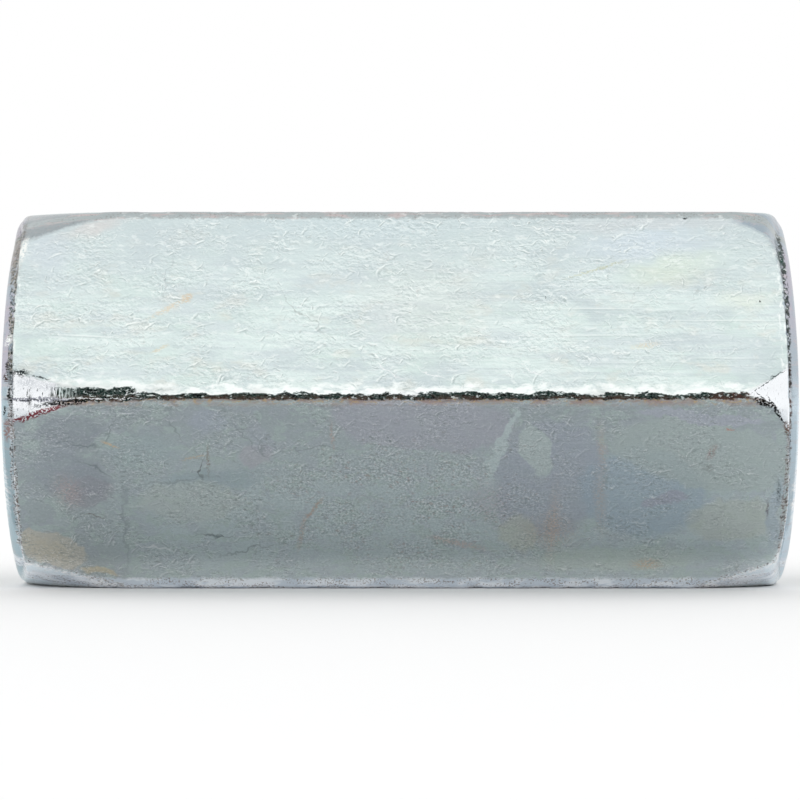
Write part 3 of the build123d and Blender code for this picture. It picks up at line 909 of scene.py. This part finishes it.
def zincSkin(t):
    # zinc-plated drawn steel bar with a clear passivation film: pale, satin, slightly green metal,
    # wrinkled and scratched, with thin coloured stains and crushed black edges; painted shade on the lower
    # half, painted highlights and shadows on the wrinkles, painted reflections on the edges and turned facets
    on = skinPlaces(t)
    colour = filmColour(t, on)
    colour, height = wrinkle(t, on, colour)
    colour, turned = turnedColour(t, on, colour)
    colour = edgeStrips(t, on, colour)
    dirt = dirtColour(t, on)
    colour = borderWear(t, on, colour, turned, dirt)
    colour, crushedAndDarkReflection = frontEdge(t, on, colour, turned, dirt)
    unbroken = within(t, (on["grain"], 0.25, 0.5))
    for *spot, tint in rustMarks:
        colour = lay(t, colour, tint, patch(t, on["rough"], spot), unbroken)
    roughness = within(t, (turned, 0.0, 1.0, skin["roughness"], skin["turnedRoughness"]))
    roughness = addNode(t, "Math", {"operation": "MULTIPLY_ADD", 1: skin["crushedRoughness"]},
                        {0: crushedAndDarkReflection, 2: roughness})
    return colour, roughness, height


facing = {
    "crest": "#D3DCDC",
    "groove": "#B0BABC",
    "stain": "#BAC6C2",
    "grime": "#8C8E8C",
    "ringScale": 2 * math.pi / (20 * 0.3 * mm),  # a ring every 0.3 mm
    "ringDepth": 0.003,  # mm
    "stainSize": 6 * mm,
    "gritSize": 0.5 * mm,
    "roughness": (0.26, 0.45),
}
tapping = {
    "crest": "#C6CED0",
    "root": "#5E6466",
    "rust": "#A08C7C",
    "rootStart": 7.2 * mm,  # radius where the roots begin to darken
    "gritSize": 0.8 * mm,
    "roughness": (0.3, 0.5),
}


def facedEnd(t):
    # faced end: turned steel under the same zinc, with fine tool rings that catch the light and grey marks
    place = addNode(t, "TexCoord").node.outputs["Object"]
    wander = addNode(t, "TexNoise", {"Scale": 1 / facing["stainSize"], "Detail": 2.0}, {"Vector": place})
    rings = addNode(t, "TexWave", {"wave_type": "RINGS", "rings_direction": "X", "Scale": facing["ringScale"],
                                   "Distortion": 1.5, "Detail": 2.0, "Detail Scale": 0.3}, {"Vector": place})
    colour = lay(t, facing["groove"], facing["crest"], rings)
    colour = lay(t, colour, facing["stain"], (wander, 0.5, 0.7, 0.0, 0.6))
    grit = addNode(t, "TexNoise", {"Scale": 1 / facing["gritSize"], "Detail": 4.0}, {"Vector": place})
    colour = lay(t, colour, facing["grime"], (grit, 0.6, 0.68, 0.0, 0.7))
    roughness = within(t, (grit, 0.0, 1.0, *facing["roughness"]))
    return colour, roughness, within(t, rings, facing["ringDepth"])


def tappedHole(t):
    # tapped thread: cut steel, thinly plated inside the hole, bright on the crests, darker towards the roots
    place = addNode(t, "TexCoord").node.outputs["Object"]
    acrossAxis = addNode(t, "VectorMath", {"operation": "MULTIPLY", 1: (0, 1, 1)}, {0: place})
    radius = addNode(t, "VectorMath", {"operation": "LENGTH"}, {0: acrossAxis}).node.outputs["Value"]
    grit = addNode(t, "TexNoise", {"Scale": 1 / tapping["gritSize"], "Detail": 4.0}, {"Vector": place})
    deep = (radius, tapping["rootStart"], threadShape["rootRadius"])
    colour = lay(t, tapping["crest"], tapping["root"], deep, grit)
    colour = lay(t, colour, tapping["rust"], (grit, 0.58, 0.7, 0.0, 0.6))
    return colour, within(t, (grit, 0.0, 1.0, *tapping["roughness"])), None


def makeMetal(name, layers):
    # a metal with the colour, the roughness and perhaps the height in mm that its layers give
    material = bpy.data.materials.new(name)
    material.use_nodes = True
    t = material.node_tree
    shader = t.nodes["Principled BSDF"]
    shader.inputs["Metallic"].default_value = 1.0
    colour, roughness, height = layers(t)
    t.links.new(colour, shader.inputs["Base Color"])
    t.links.new(roughness, shader.inputs["Roughness"])
    if height is not None:
        bump = addNode(t, "Bump", {"Strength": 1.0, "Distance": mm}, {"Height": height})
        t.links.new(bump, shader.inputs["Normal"])
    return material


nut = makeNut()
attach(nut, "root")
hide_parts("coupling_nut")
for name, layers in (("zincPlatedDrawnBar", zincSkin), ("zincPlatedFacedEnd", facedEnd),
                     ("zincPlatedThread", tappedHole)):
    nut.data.materials.append(makeMetal(name, layers))
print("nut made")

# The studio: white surroundings, one soft lamp overhead, and cards that give the metal something to reflect
studio = {
    "cameraDistance": 190 * mm,
    "lens": 129.5,
    "sensorWidth": 36,
    "floorColour": "#FBFBFB",
    "floorSize": 6.0,
    "lampSize": 0.5,
    "lampPlace": (0, -0.25, 0.6),
    "lampPower": 0.12,
    # middle, width, height and tilt from upright of each card, and its grey
    "cards": {
        "frontCard": ((0, -0.2, 0.02), 0.092, 0.064, 0, "#0A0A0A"),
        "upperFrontCard": ((0, -0.2, 0.095), 0.112, 0.07, 0, "#303234"),
        # painted shade: a grey sheet on the floor in front of the nut, seen only in reflections, stands in for
        # the floor's shade there
        "floorShadeCard": ((0, -0.07185, -0.0115), 0.3, 0.1263, 90, "#D2D6D8"),
    },
}


def makePanel(name, place, width, height, looks):
    # a flat sheet that isn't part of the nut
    bm = bmesh.new()
    size = Matrix.Diagonal((width / 2, height / 2, 1, 1))
    bmesh.ops.create_grid(bm, x_segments=1, y_segments=1, size=1, matrix=place @ size)
    panel = addObject(name, addMesh(name, bm))
    stuff = bpy.data.materials.new(name)
    stuff.use_nodes = True
    for socket, value in looks.items():
        stuff.node_tree.nodes["Principled BSDF"].inputs[socket].default_value = value
    panel.data.materials.append(stuff)
    return panel


def makeFloor():
    floor = makePanel("floor", Matrix.Translation((0, 0, nutLow.z)), studio["floorSize"], studio["floorSize"],
                      {"Base Color": linear(studio["floorColour"]), "Roughness": 0.9})


def makeCards():
    # seen only in the metal's reflections
    for name, (middle, width, height, tilt, grey) in studio["cards"].items():
        place = Matrix.Translation(middle) @ Matrix.Rotation(math.radians(90 + tilt), 4, "X")
        card = makePanel(name, place, width, height,
                         {"Base Color": linear(grey), "Roughness": 1.0, "Specular IOR Level": 0.0})
        card.visible_camera = False
        card.visible_diffuse = False
        card.visible_shadow = False


def makeLamp():
    data = bpy.data.lights.new("softLamp", "AREA")
    data.shape = "SQUARE"
    data.size = studio["lampSize"]
    data.energy = studio["lampPower"]
    lamp = addObject("softLamp", data)
    lamp.location = studio["lampPlace"]
    lamp.rotation_euler = (-lamp.location).to_track_quat("-Z", "Y").to_euler()


def makeCamera():
    data = bpy.data.cameras.new("camera")
    data.lens = studio["lens"]
    data.sensor_width = studio["sensorWidth"]
    data.clip_start = 0.01
    camera = addObject("camera", data)
    camera.location = (0, -studio["cameraDistance"], 0)
    camera.rotation_euler = (math.radians(90), 0, 0)
    bpy.context.scene.camera = camera


def makeWorld():
    world = bpy.data.worlds.new("studioWorld")
    world.use_nodes = True
    t = world.node_tree
    rays = addNode(t, "LightPath").node.outputs
    seen = addNode(t, "Math", {"operation": "MAXIMUM"}, {0: rays["Is Camera Ray"], 1: rays["Is Glossy Ray"]})
    seen = addNode(t, "Math", {"operation": "MAXIMUM"}, {0: seen, 1: rays["Is Transmission Ray"]})
    strength = addNode(t, "MapRange", {"To Min": 1.05, "To Max": 1.0}, {"Value": seen})
    background = t.nodes["Background"]
    background.inputs["Color"].default_value = (1, 1, 1, 1)
    t.links.new(strength, background.inputs["Strength"])
    bpy.context.scene.world = world


makeFloor()
makeCards()
makeLamp()
makeCamera()
makeWorld()
bpy.context.scene.view_settings.view_transform = "Standard"
print("studio made")
